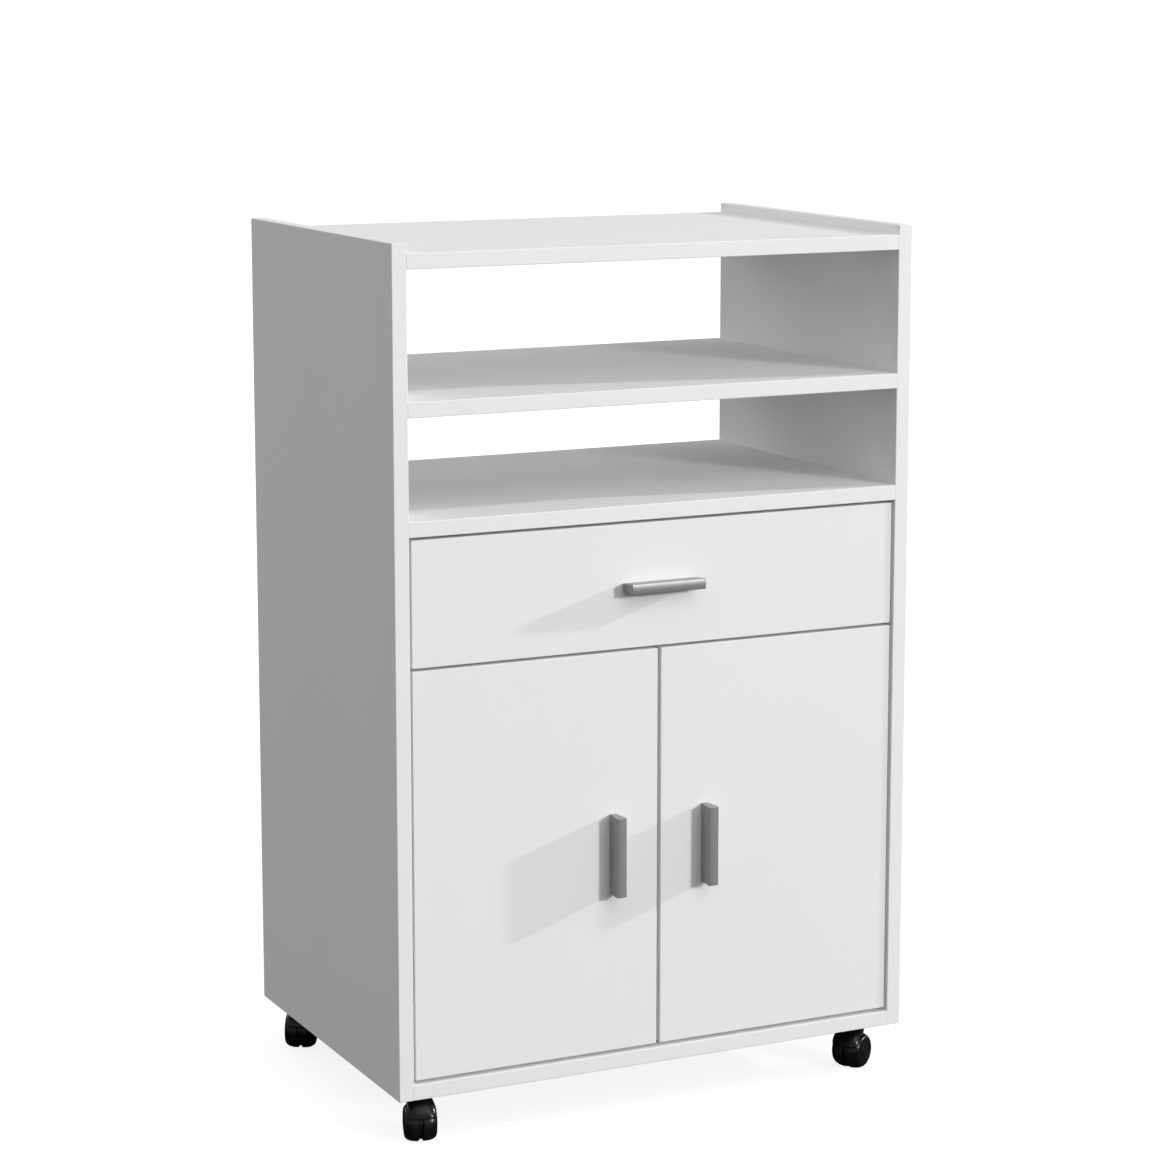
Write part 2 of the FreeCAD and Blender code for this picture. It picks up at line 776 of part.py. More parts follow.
def handle_bar():
    half_root, half_face = handle_root_width / 2, handle_face_width / 2
    flat = -handle_projection + handle_crown
    end = -handle_length / 2

    def point(y, z):
        return FreeCAD.Vector(end, y, z)

    edges = [
        Part.makeLine(point(0, -half_root), point(0, half_root)),
        Part.makeLine(point(0, half_root), point(flat, half_face)),
        Part.Arc(point(flat, half_face), point(-handle_projection, 0), point(flat, -half_face)).toShape(),
        Part.makeLine(point(flat, -half_face), point(0, -half_root)),
    ]
    bar = Part.Face(Part.Wire(edges)).extrude(FreeCAD.Vector(handle_length, 0, 0))
    radius = machine_screw_radius + thread_clearance
    depth = handle_thread_depth + fitting_clearance
    return bar.cut([rod(radius, depth, (x, 0, 0), -along_y) for x in handle_screw_rows])


handle_screw_rows = (-handle_screw_spacing / 2, handle_screw_spacing / 2)


def handle_screws(clearance=0.0):
    """Both screws of a handle, from behind the front it is on."""
    screw = machine_screw(board + handle_thread_depth, clearance)
    return [placed(screw, (x, board, 0), along_x, -90.0) for x in handle_screw_rows]


def on_front(shape, x, z, upright):
    """A handle's piece, brought to its place on a front."""
    return placed(shape, (x, front_face, z), along_y, 90.0 if upright else 0.0)


# Doors, built for the left

handle_x = -door_inner - door_handle_inset
door_middle = (door_bottom + door_top) / 2


def left_door():
    slab = box(-door_outer, -door_inner, front_face, front_rear, door_bottom, door_top)
    holes = [on_front(screw, handle_x, door_middle, True) for screw in handle_screws(thread_clearance)]
    return without(slab, cup_cutters() + holes)


def doors():
    door = left_door()
    handle = on_front(handle_bar(), handle_x, door_middle, True)
    screws = [on_front(screw, handle_x, door_middle, True) for screw in handle_screws()]
    save("door_left", door)
    save("door_right", mirrored(door))
    save("handle_door_left", handle)
    save("handle_door_right", mirrored(handle))
    save("handle_screws_door_left", *screws)
    save("handle_screws_door_right", *[mirrored(screw) for screw in screws])


# Drawer

drawer_middle = (drawer_front_bottom + drawer_front_top) / 2
drawer_cam_levels = (drawer_box_bottom + drawer_cam_inset, drawer_box_top - drawer_cam_inset)
drawer_side_middle = -drawer_half + drawer_board / 2


def at_drawer_front(shape):
    """Copies of a left fitting at the joint of drawer front and side, cam open inwards."""
    upright = placed(shape, (0, 0, 0), along_x, -90.0)
    places = [(drawer_side_middle, front_rear, level) for level in drawer_cam_levels]
    return [placed(upright, place, along_z, 90.0) for place in places]


def drawer_back_screws(clearance=0.0):
    """Screws from the left drawer side into the drawer back."""
    screw = board_screw(drawer_back_screw_length, clearance)
    y = drawer_rear - drawer_board / 2
    return [placed(screw, (-drawer_half, y, level), along_y, -90.0) for level in drawer_cam_levels]


def slide_screws(clearance=0.0):
    """Screws from the left slide into the drawer side."""
    screw = board_screw(drawer_screw_length, clearance)
    x = -drawer_half - sheet
    z = (drawer_box_bottom + track + slide_flange_height) / 2
    rows = (rail_front + rail_screw_inset, rail_rear - rail_screw_inset)
    return [placed(screw, (x, y, z), along_y, -90.0) for y in rows]


def drawer_floor(reach, room):
    side = drawer_half - drawer_board + reach
    front = front_rear - reach
    rear = drawer_rear - drawer_board + reach
    low = drawer_floor_bottom - room
    return box(-side, side, front, rear, low, drawer_floor_bottom + drawer_floor_thickness + room)


def drawer():
    fit = [drawer_cam_reach, drawer_cam_depth, drawer_board]
    left_holes = at_drawer_front(cam_cutter(*fit))
    left_holes += drawer_back_screws(thread_clearance) + slide_screws(thread_clearance)
    groove = drawer_floor(drawer_groove_depth, groove_clearance)
    side = box(
        -drawer_half, -drawer_half + drawer_board,
        front_rear, drawer_rear, drawer_box_bottom, drawer_box_top,
    )
    left = without(side, left_holes + [groove])
    holes = left_holes + [mirrored(hole) for hole in left_holes]
    front = box(-door_outer, door_outer, front_face, front_rear, drawer_front_bottom, drawer_front_top)
    handle_holes = [on_front(hole, 0, drawer_middle, False) for hole in handle_screws(thread_clearance)]
    inner = drawer_half - drawer_board
    back = box(-inner, inner, drawer_rear - drawer_board, drawer_rear, drawer_box_bottom, drawer_box_top)
    save("drawer_front", without(front, holes + handle_holes + [groove]))
    save("drawer_side_left", left)
    save("drawer_side_right", mirrored(left))
    save("drawer_back", without(back, holes + [groove]))
    save("drawer_bottom", drawer_floor(drawer_groove_depth - groove_clearance, 0.0))
    save("handle_drawer", on_front(handle_bar(), 0, drawer_middle, False))
    save("handle_screws_drawer", *[on_front(screw, 0, drawer_middle, False) for screw in handle_screws()])
    fittings = at_drawer_front(cam_bolt(drawer_cam_reach)) + at_drawer_front(cam_lock(*fit))
    fittings += drawer_back_screws() + slide_screws()
    save("drawer_fittings", *fittings, *[mirrored(fitting) for fitting in fittings])


# Runners, built for the left

rail_roller_y = rail_front + roller_end_inset
rail_roller_z = track + slide_flange_height - rolling_gap - roller_radius
slide_roller_y = drawer_rear - roller_end_inset
slide_roller_z = track + rolling_gap + roller_radius
roller_near = -inner_half + roller_wall_gap
roller_far = roller_near + roller_width
slide_web = -drawer_half - sheet


def roller(y, z):
    body = rod(roller_radius, roller_width, (roller_near, y, z), along_x)
    return body.cut(rod(stud_radius + running_clearance, roller_width, (roller_near, y, z), along_x))


def stud(base, direction, y, z):
    """A riveted stud: shoulder, bearing and head, from its sheet to past the roller."""
    near = roller_near if direction.x > 0 else roller_far
    shoulder = abs(near - base) - stud_shoulder_gap
    bearing = shoulder + stud_shoulder_gap + roller_width + stud_head_gap
    head_start = base + direction.x * bearing
    return rod(stud_shoulder_radius, shoulder, (base, y, z), direction).fuse([
        rod(stud_radius, bearing, (base, y, z), direction),
        rod(stud_shoulder_radius, stud_head_length, (head_start, y, z), direction),
    ])


def stop_tab(y):
    return box(roller_near, -inner_half + rail_flange, y, y + sheet, track, track + stop_height)


def left_rail():
    wall = -inner_half
    flange = wall + rail_flange
    web = box(wall, wall + sheet, rail_front, rail_rear, track - sheet, track + rail_height + sheet)
    lower = box(wall, flange, rail_front, rail_rear, track - sheet, track)
    roof_start = rail_front + 2 * roller_end_inset
    upper = box(wall, flange, roof_start, rail_rear, track + rail_height, track + rail_height + sheet)
    open_roller = slide_roller_y - drawer_travel
    tabs = [
        stop_tab(open_roller - roller_radius - stop_gap - sheet),
        stop_tab(slide_roller_y + roller_radius + stop_gap),
    ]
    pin = stud(wall + sheet, along_x, rail_roller_y, rail_roller_z)
    rail = web.fuse([lower, upper, pin, *tabs]).removeSplitter()
    return without(rail, left_screw_cutters())


def left_slide():
    flange_bottom = track + slide_flange_height
    web = box(
        slide_web, -drawer_half,
        front_rear, drawer_rear, drawer_box_bottom - sheet, flange_bottom + sheet,
    )
    flange = box(
        -inner_half + slide_flange_gap, -drawer_half,
        front_rear, drawer_rear, flange_bottom, flange_bottom + sheet,
    )
    foot = box(
        slide_web, -drawer_half + slide_foot,
        front_rear, drawer_rear, drawer_box_bottom - sheet, drawer_box_bottom,
    )
    pin = stud(slide_web, -along_x, slide_roller_y, slide_roller_z)
    slide = web.fuse([flange, foot, pin]).removeSplitter()
    return without(slide, slide_screws(thread_clearance))


def runners():
    rail = left_rail()
    slide = left_slide()
    rail_roller = roller(rail_roller_y, rail_roller_z)
    slide_roller = roller(slide_roller_y, slide_roller_z)
    for name, shape in (
        ("runner_rail", rail),
        ("runner_slide", slide),
        ("roller_rail", rail_roller),
        ("roller_slide", slide_roller),
    ):
        save(name + "_left", shape)
        save(name + "_right", mirrored(shape))


os.makedirs("parts", exist_ok=True)
boards()
carcass_joints()
hinges()
doors()
drawer()
runners()
casters()
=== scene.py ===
import bmesh
import bpy
import json
import math
from mathutils import Matrix, Vector


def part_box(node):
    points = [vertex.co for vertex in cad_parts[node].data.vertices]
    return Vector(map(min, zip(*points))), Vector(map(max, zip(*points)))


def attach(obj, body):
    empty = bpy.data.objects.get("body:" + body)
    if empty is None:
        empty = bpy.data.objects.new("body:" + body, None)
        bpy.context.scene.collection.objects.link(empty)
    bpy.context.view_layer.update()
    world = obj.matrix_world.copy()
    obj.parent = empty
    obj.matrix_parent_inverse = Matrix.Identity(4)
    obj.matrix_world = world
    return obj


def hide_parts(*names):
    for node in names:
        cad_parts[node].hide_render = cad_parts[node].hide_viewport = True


# Microwave cart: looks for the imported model. Metres, +Z up, the front faces -Y.

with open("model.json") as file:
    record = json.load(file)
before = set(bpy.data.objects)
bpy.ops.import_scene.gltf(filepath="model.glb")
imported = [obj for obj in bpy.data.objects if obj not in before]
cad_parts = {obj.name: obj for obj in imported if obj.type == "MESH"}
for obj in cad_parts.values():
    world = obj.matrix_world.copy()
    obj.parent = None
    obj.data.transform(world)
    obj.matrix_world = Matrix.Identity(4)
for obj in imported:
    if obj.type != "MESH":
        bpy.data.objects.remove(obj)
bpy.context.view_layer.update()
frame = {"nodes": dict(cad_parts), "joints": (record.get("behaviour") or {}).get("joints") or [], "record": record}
nodes = frame["nodes"]
bodyOf = {node: body for body, members in frame["record"]["behaviour"]["bodies"].items() for node in members}
jointOf = {joint["child"]: joint for joint in frame["joints"]}
mm = 0.001
corners = ("front_left", "front_right", "rear_left", "rear_right")


# Shader maths

class Signal:
    # One socket of a node tree. Each operator adds a Math node.
    def __init__(self, tree, socket):
        self.tree = tree
        self.socket = socket

    def maths(self, operation, first, second):
        return self.tree.node("ShaderNodeMath", {"operation": operation}, {0: first, 1: second})

    def __add__(self, other):
        return self.maths("ADD", self, other)

    def __radd__(self, other):
        return self.maths("ADD", other, self)

    def __mul__(self, other):
        return self.maths("MULTIPLY", self, other)

    def __rmul__(self, other):
        return self.maths("MULTIPLY", other, self)

    def band(self, low, high):
        # From 0 at low to 1 at high, and level beyond them
        inputs = {"Value": self, "From Min": low, "From Max": high}
        return self.tree.node("ShaderNodeMapRange", {"interpolation_type": "SMOOTHSTEP"}, inputs)


class Tree:
    def __init__(self, nodeTree):
        self.nodeTree = nodeTree

    def node(self, kind, settings, inputs, output=0):
        made = self.nodeTree.nodes.new(kind)
        for name, value in settings.items():
            setattr(made, name, value)
        for name, value in inputs.items():
            self.feed(made.inputs[name], value)
        return Signal(self, made.outputs[output])

    def feed(self, socket, value):
        if isinstance(value, Signal):
            self.nodeTree.links.new(value.socket, socket)
        else:
            socket.default_value = value


class Finish(Tree):
    # A material with one Principled shader and patterns on Object coordinates
    def __init__(self, name, constants):
        self.material = bpy.data.materials.new(name)
        self.material.use_nodes = True
        super().__init__(self.material.node_tree)
        self.shader = self.nodeTree.nodes["Principled BSDF"]
        self.place = self.node("ShaderNodeTexCoord", {}, {}, "Object")
        for socket, value in constants.items():
            self.shader.inputs[socket].default_value = value

    def noise(self, scale, detail=2.0, stretch=(1, 1, 1)):
        place = self.node("ShaderNodeMapping", {}, {"Vector": self.place, "Scale": stretch})
        return self.node("ShaderNodeTexNoise", {}, {"Vector": place, "Scale": scale, "Detail": detail})

    def cells(self, scale, output="Distance"):
        return self.node("ShaderNodeTexVoronoi", {}, {"Vector": self.place, "Scale": scale}, output)

    def blend(self, factor, first, second):
        # A Mix node has its colours on sockets 6 and 7, and their mix on output 2
        return self.node("ShaderNodeMix", {"data_type": "RGBA"}, {0: factor, 6: first, 7: second}, 2)

    def colour(self, value):
        self.feed(self.shader.inputs["Base Color"], value)

    def roughness(self, value):
        self.feed(self.shader.inputs["Roughness"], value)

    def relief(self, height, depth):
        bump = self.node("ShaderNodeBump", {}, {"Strength": 1.0, "Distance": depth, "Height": height})
        self.feed(self.shader.inputs["Normal"], bump)


def tone(red, green, blue):
    return (red, green, blue, 1.0)


def grey(value):
    return tone(value, value, value)


# Finishes. The scales of patterns are per metre, and the depth of relief is in metres.

laminate = {
    "light": tone(0.905, 0.905, 0.901), "dark": tone(0.885, 0.885, 0.879),
    "roughness": 0.66, "grain": 850.0, "relief": 0.000018,
}
edging = {
    "light": tone(0.908, 0.908, 0.906), "dark": tone(0.892, 0.892, 0.888),
    "roughness": 0.58, "grain": 600.0, "relief": 0.000012,
}
foil = {
    "light": tone(0.85, 0.85, 0.84), "dark": tone(0.82, 0.82, 0.81),
    "roughness": 0.5, "grain": 1100.0, "relief": 0.00003,
}
hardboard = {
    "light": tone(0.83, 0.825, 0.81), "dark": tone(0.79, 0.785, 0.77),
    "roughness": 0.36, "grain": 260.0, "relief": 0.00006,
}
satinGrey = {
    "light": tone(0.335, 0.335, 0.343), "dark": tone(0.285, 0.285, 0.292),
    "roughness": 0.36, "grain": 1500.0, "relief": 0.00002,
}
epoxy = {
    "light": tone(0.82, 0.82, 0.81), "dark": tone(0.78, 0.78, 0.77),
    "roughness": 0.28, "grain": 480.0, "relief": 0.00004,
}
nylon = {
    "light": tone(0.80, 0.80, 0.77), "dark": tone(0.75, 0.75, 0.72),
    "roughness": 0.42, "grain": 700.0, "relief": 0.00002,
}
hoodBlack = {
    "light": grey(0.006), "dark": grey(0.004),
    "roughness": 0.20, "grain": 900.0, "relief": 0.00001,
}
wheelBlack = {
    "light": grey(0.006), "dark": grey(0.004),
    "roughness": 0.22, "grain": 700.0, "relief": 0.00001,
}
treadBlack = {
    "light": grey(0.009), "dark": grey(0.006),
    "roughness": 0.34, "grain": 1200.0, "relief": 0.00003,
}
zinc = {
    "light": tone(0.68, 0.69, 0.71), "dark": tone(0.52, 0.53, 0.55),
    "roughness": 0.30, "grain": 240.0, "stretch": (1, 1, 1),
}
nickel = {
    "light": tone(0.74, 0.73, 0.70), "dark": tone(0.64, 0.63, 0.60),
    "roughness": 0.18, "grain": 500.0, "stretch": (0.2, 1, 1),
}
metalPattern = {"detail": 3.0, "smudgeShare": 0.4, "smudgeRoughness": 0.12, "relief": 0.00002}
sheetPattern = {
    "cloud": 7.0, "cloudDetail": 3.0, "smudge": 38.0, "smudgeRoughness": 0.08,
    "grainDetail": 1.0, "gloss": 0.25,
}
plasticPattern = {"smudge": 55.0, "smudgeRoughness": 0.06}
woodChips = {
    "light": tone(0.62, 0.47, 0.31), "dark": tone(0.36, 0.25, 0.15), "size": 420.0, "relief": 0.0003,
    "roughness": 0.85, "smudge": 200.0, "smudgeRoughness": 0.1,
}
beechWood = {
    "light": tone(0.70, 0.52, 0.34), "dark": tone(0.47, 0.31, 0.18), "relief": 0.0001,
    "grain": 160.0, "grainDetail": 4.0, "grainStretch": (0.15, 1, 1),
    "flecks": 900.0, "fleckStretch": (0.08, 1, 1), "roughness": 0.55, "fleckRoughness": 0.15,
}


def whiteSheet(name, look):
    made = Finish(name, {"Specular IOR Level": sheetPattern["gloss"]})
    cloud = made.noise(sheetPattern["cloud"], sheetPattern["cloudDetail"])
    made.colour(made.blend(cloud, look["dark"], look["light"]))
    made.roughness(look["roughness"] + sheetPattern["smudgeRoughness"] * made.noise(sheetPattern["smudge"]))
    made.relief(made.noise(look["grain"], sheetPattern["grainDetail"]), look["relief"])
    return made


def rawBoard(look):
    # Chips of wood where a board is drilled or grooved
    made = Finish("rawBoard", {})
    chips = made.cells(look["size"], "Color")
    shade = made.node("ShaderNodeSeparateColor", {}, {"Color": chips})
    made.colour(made.blend(shade, look["dark"], look["light"]))
    made.roughness(look["roughness"] + look["smudgeRoughness"] * made.noise(look["smudge"]))
    made.relief(made.cells(look["size"]), look["relief"])
    return made


def metal(name, look):
    made = Finish(name, {"Metallic": 1.0})
    streaks = made.noise(look["grain"], metalPattern["detail"], look["stretch"])
    made.colour(made.blend(streaks, look["dark"], look["light"]))
    smudges = made.noise(look["grain"] * metalPattern["smudgeShare"], stretch=look["stretch"])
    made.roughness(look["roughness"] + metalPattern["smudgeRoughness"] * smudges)
    made.relief(streaks, metalPattern["relief"])
    return made


def plastic(name, look, constants):
    made = Finish(name, constants)
    speckle = made.noise(look["grain"])
    smudges = made.noise(plasticPattern["smudge"])
    made.colour(made.blend(speckle, look["dark"], look["light"]))
    made.roughness(look["roughness"] + plasticPattern["smudgeRoughness"] * smudges)
    made.relief(speckle, look["relief"])
    return made


def wood(name, look):
    made = Finish(name, {})
    grain = made.noise(look["grain"], look["grainDetail"], look["grainStretch"])
    flecks = made.noise(look["flecks"], stretch=look["fleckStretch"])
    made.colour(made.blend(grain, look["dark"], look["light"]))
    made.roughness(look["roughness"] + look["fleckRoughness"] * flecks)
    made.relief(grain + flecks, look["relief"])
    return made


faceFinish = whiteSheet("whiteLaminate", laminate)
edgeFinish = whiteSheet("whiteEdging", edging)
foilFinish = whiteSheet("drawerFoil", foil)
hardboardFinish = whiteSheet("whiteHardboard", hardboard)
coreFinish = rawBoard(woodChips)
handleFinish = plastic("satinGrey", satinGrey, {"Metallic": 0.35})
zincFinish = metal("zincSteel", zinc)
nickelFinish = metal("nickelSteel", nickel)
runnerFinish = plastic("whiteEpoxy", epoxy, {"Coat Weight": 0.2})
nylonFinish = plastic("whiteNylon", nylon, {})
blackGloss = {"Specular IOR Level": 0.3}
hoodFinish = plastic("blackHood", hoodBlack, blackGloss)
wheelFinish = plastic("blackWheel", wheelBlack, blackGloss)
treadFinish = plastic("blackTread", treadBlack, blackGloss)
dowelFinish = wood("beechDowel", beechWood)
print("Finishes:", len(bpy.data.materials))


# Pieces

cadLook = {"weld": 0.01 * mm, "flatAngle": math.radians(0.5)}
flatWeight = 100


def camelName(node):
    first, *rest = node.split("_")
    return first + "".join(word.title() for word in rest)


def meshOf(made, name="part"):
    mesh = bpy.data.meshes.new(name)
    made.to_mesh(mesh)
    made.free()
    return mesh


def linked(name, data):
    thing = bpy.data.objects.new(name, data)
    bpy.context.scene.collection.objects.link(thing)
    return thing


def cadCopy(node):
    # The node's triangles merged, with each flat face whole again
    made = bmesh.new()
    made.from_mesh(nodes[node].data)
    bmesh.ops.remove_doubles(made, verts=made.verts, dist=cadLook["weld"])
    bmesh.ops.dissolve_limit(
        made, angle_limit=cadLook["flatAngle"], verts=made.verts, edges=made.edges,
        use_dissolve_boundaries=False, delimit=set(),
    )
    return made


def eased(made, edges, width, segments):
    bmesh.ops.bevel(
        made, geom=edges, offset=width, offset_type="OFFSET", affect="EDGES",
        segments=segments, profile=0.5, material=-1, clamp_overlap=True,
    )


def sharpEdges(made, angle):
    limit = math.radians(angle)
    return [edge for edge in made.edges if len(edge.link_faces) == 2 and edge.calc_face_angle() > limit]


def finishPiece(node, made, slotName, finishes, smoothAngle=30.0, flat=True):
    # The mesh becomes the piece that stands for the node
    name, body, replaced = camelName(node), bodyOf[node], [node]
    mesh = meshOf(made, name)
    for layer in [layer for layer in mesh.attributes if layer.name == "custom_normal"]:
        mesh.attributes.remove(layer)
    for finish in finishes:
        mesh.materials.append(finish.material)
    mesh.shade_smooth()
    mesh.set_sharp_from_angle(angle=math.radians(smoothAngle))
    piece = linked(name, mesh)
    if flat:
        # Flat faces keep their own normals, so that shading turns only over the eased edges
        even = piece.modifiers.new("evenNormals", "WEIGHTED_NORMAL")
        even.keep_sharp = True
        even.weight = flatWeight
    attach(piece, body)
    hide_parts(*replaced)


# Boards: the axis across each board, and the axis along which its ends meet other boards

boardLook = {"arris": 0.8 * mm, "segments": 3, "touch": 0.02 * mm, "level": 0.99, "upright": 0.5}
boardParts = ("face", "edge", "core")
boards = {
    "side_panel_left": (0, None), "side_panel_right": (0, None),
    "top_board": (2, 0), "middle_shelf": (2, 0), "deck_board": (2, 0), "bottom_board": (2, 0),
    "inner_shelf": (2, None), "door_left": (1, None), "door_right": (1, None), "drawer_front": (1, None),
    "drawer_side_left": (0, 1), "drawer_side_right": (0, 1), "drawer_back": (1, 0),
}


def onSides(point, low, high, reach):
    # Which faces of the box the point lies on, as (axis, side)
    found = set()
    for axis in range(3):
        if point[axis] - low[axis] < reach:
            found.add((axis, 0))
        if high[axis] - point[axis] < reach:
            found.add((axis, 1))
    return found


def boardPart(normal, sides, thin):
    # A large face of the board, its edge, or the raw core inside a hole or a groove
    if not sides:
        return "core"
    if len(sides) == 1:
        axis, side = next(iter(sides))
        outward = 0 if normal[thin] < 0 else 1
        if axis == thin and side == outward and abs(normal[thin]) > boardLook["level"]:
            return "face"
        if abs(normal[axis]) < boardLook["upright"]:
            return "core"
    return "edge"


def dressBoard(node, thin, butt):
    low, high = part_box(node)
    made = cadCopy(node)
    arrises = []
    for edge in made.edges:
        shared = set.intersection(*[onSides(v.co, low, high, boardLook["touch"]) for v in edge.verts])
        if len(shared) == 2 and butt not in {axis for axis, side in shared}:
            arrises.append(edge)
    eased(made, arrises, boardLook["arris"], boardLook["segments"])
    for face in made.faces:
        sides = onSides(face.calc_center_median(), low, high, boardLook["arris"])
        face.material_index = boardParts.index(boardPart(face.normal, sides, thin))
    if node.startswith("drawer_side") or node == "drawer_back":
        finishPiece(node, made, "white_drawer_board", [foilFinish, foilFinish, coreFinish])
    else:
        finishPiece(node, made, "white_laminate", [faceFinish, edgeFinish, coreFinish])


for node, (thin, butt) in boards.items():
    dressBoard(node, thin, butt)
print("Boards:", len(boards))


# Handles. The edges on the foot, against the board, stay sharp.

handleLook = {"edge": 0.7 * mm, "segments": 3, "sharp": 40.0, "foot": 1.0 * mm, "smooth": 35.0}
handles = ("handle_drawer", "handle_door_left", "handle_door_right")


def dressHandle(node):
    made = cadCopy(node)
    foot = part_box(node)[1].y - handleLook["foot"]
    sharp = sharpEdges(made, handleLook["sharp"])
    outer = [edge for edge in sharp if min(v.co.y for v in edge.verts) < foot]
    eased(made, outer, handleLook["edge"], handleLook["segments"])
    finishPiece(node, made, "grey_handle", [handleFinish], handleLook["smooth"])


for node in handles:
    dressHandle(node)
print("Handles:", len(handles))


# Casters

# The wheel is turned about x, in millimetres from the middle of its caster. Its outer face is
# a shallow dome with a rounded shoulder and a groove around its cap, and its inner face is dished.

wheelLook = {
    "radius": 20.0, "inner": 2.0, "outer": 17.5, "dome": 1.0,
    "shoulderWidth": 12.0, "shoulderDrop": 6.0, "shoulderSteps": 14, "shoulderLand": 1.0,
    "capRadius": 8.2, "capRings": (0, 2.5, 5.0), "capLand": 0.7, "capEase": (0.1, 0.25),
    "grooveWidth": 0.8, "grooveDepth": 0.5, "grooveEase": (0.08, 0.2), "grooveLand": 0.6,
    "rim": 15.5, "dishDepth": 8.0, "hub": 6.0, "bore": 2.55, "boreEnd": 15.0, "innerChamfer": 0.6,
    "treadEnd": 10.0, "treadSlope": 0.9, "steps": 64, "smooth": 28.0,
}


def shoulderCurve(gap=0.0):
    # (along the axle, radius) from the dome's edge out to the tread, with a gap around it
    look = wheelLook
    start = look["outer"] - look["dome"] - look["shoulderWidth"]
    domeEdge = look["radius"] - look["shoulderDrop"]
    width, drop = look["shoulderWidth"] + gap, look["shoulderDrop"] + gap
    curve = []
    for step in range(look["shoulderSteps"] + 1):
        angle = math.pi / 2 * step / look["shoulderSteps"]
        curve.append((start + width * math.cos(angle), domeEdge + drop * math.sin(angle)))
    return curve


def wheelProfile():
    # (along the axle, radius) from the middle of the outer face round to the bore's end
    look = wheelLook
    domeEdge = look["radius"] - look["shoulderDrop"]

    def domed(radius):
        return look["outer"] - look["dome"] * (radius / domeEdge) ** 2

    cap = look["capRadius"]
    groove = cap + look["grooveWidth"]
    bottom = domed(cap) - look["grooveDepth"]
    (capDrop, capIn), (grooveDrop, grooveOut) = look["capEase"], look["grooveEase"]
    points = [(domed(radius), radius) for radius in (*look["capRings"], cap - look["capLand"])]
    points += [(domed(cap) - capDrop, cap - capIn), (bottom, cap), (bottom, groove)]
    points.append((domed(groove) - grooveDrop, groove + grooveOut))
    lands = (groove + look["grooveLand"], domeEdge - look["shoulderLand"])
    points += [(domed(radius), radius) for radius in lands] + shoulderCurve()
    chamfer = look["innerChamfer"]
    dish = look["inner"] + look["dishDepth"]
    points += [
        (look["inner"] + chamfer, look["radius"]),
        (look["inner"], look["radius"] - chamfer),
        (look["inner"], look["rim"]),
        (dish, look["rim"]),
        (dish, look["hub"]),
        (look["inner"], look["hub"]),
        (look["inner"], look["bore"]),
        (look["boreEnd"], look["bore"]),
        (look["boreEnd"], 0.0),
    ]
    return points


def skinned(loops):
    # A closed mesh through loops of points. A loop of one point is a tip, and other ends get a face.
    made = bmesh.new()
    count = max(len(loop) for loop in loops)
    rings = [[made.verts.new(spot) for spot in loop] * (count // len(loop)) for loop in loops]
    for first, second in zip(rings, rings[1:]):
        for i in range(count):
            # At a tip two of the four corners are the same
            side = dict.fromkeys((first[i - 1], first[i], second[i], second[i - 1]))
            made.faces.new(list(side))
    for end in (0, -1):
        if len(loops[end]) > 1:
            made.faces.new(rings[end])
    bmesh.ops.recalc_face_normals(made, faces=made.faces)
    return made


def spun(profile, steps):
    # A profile of (along x, radius) in millimetres, turned about x
    loops = []
    for x, radius in profile:
        angles = [math.tau * step / steps for step in range(steps if radius else 1)]
        y, z = [radius * mm * math.sin(a) for a in angles], [radius * mm * math.cos(a) for a in angles]
        loops.append([(x * mm, *spot) for spot in zip(y, z)])
    return skinned(loops)


def joined(made, other, operation):
    # The first mesh with the second one added to it or cut out of it. Both are used up.
    body, tool = linked("body", meshOf(made)), linked("tool", meshOf(other))
    boolean = body.modifiers.new("boolean", "BOOLEAN")
    boolean.operation = operation
    boolean.object = tool
    result = bmesh.new()
    result.from_object(body, bpy.context.evaluated_depsgraph_get())
    for part in (body, tool):
        mesh = part.data
        bpy.data.objects.remove(part)
        bpy.data.meshes.remove(mesh)
    return result


def carved(made, cutter):
    return joined(made, cutter, "DIFFERENCE")


def upright(made):
    # Turned from along x to along z
    bmesh.ops.rotate(made, verts=made.verts, cent=(0, 0, 0), matrix=Matrix.Rotation(-math.pi / 2, 3, "Y"))
    return made


def dressWheel(corner, side):
    node = "caster_wheel_" + side + "_" + corner
    joint = jointOf[node]
    look = wheelLook
    made = spun(wheelProfile(), look["steps"])
    for face in made.faces:
        middle = face.calc_center_median()
        isOuter = middle.x < look["treadEnd"] * mm and math.hypot(middle.y, middle.z) > look["rim"] * mm
        face.material_index = 1 if isOuter and abs(face.normal.x) < look["treadSlope"] else 0
    # The right wheel's outer face looks along the axle, the left one's against it
    axle = Vector(joint["axis"]) * (1 if side == "right" else -1)
    turn = axle.to_track_quat("X", "Z").to_matrix().to_4x4()
    middle = look["inner"] + (look["outer"] - look["inner"]) / 2
    place = Matrix.Translation(Vector(joint["pos_m"]) - axle * middle * mm)
    bmesh.ops.transform(made, matrix=place @ turn, verts=made.verts)
    finishPiece(node, made, "black_caster", [wheelFinish, treadFinish], look["smooth"], False)


# The hood is lofted from level rings, in millimetres from the swivel axis, with the wheels ahead
# of it towards -Y. Front, flank and rear give the reach at three levels. The room for the wheels,
# what lies below the cheeks' edge and the swivel pin's bore with its groove are cut out of it.

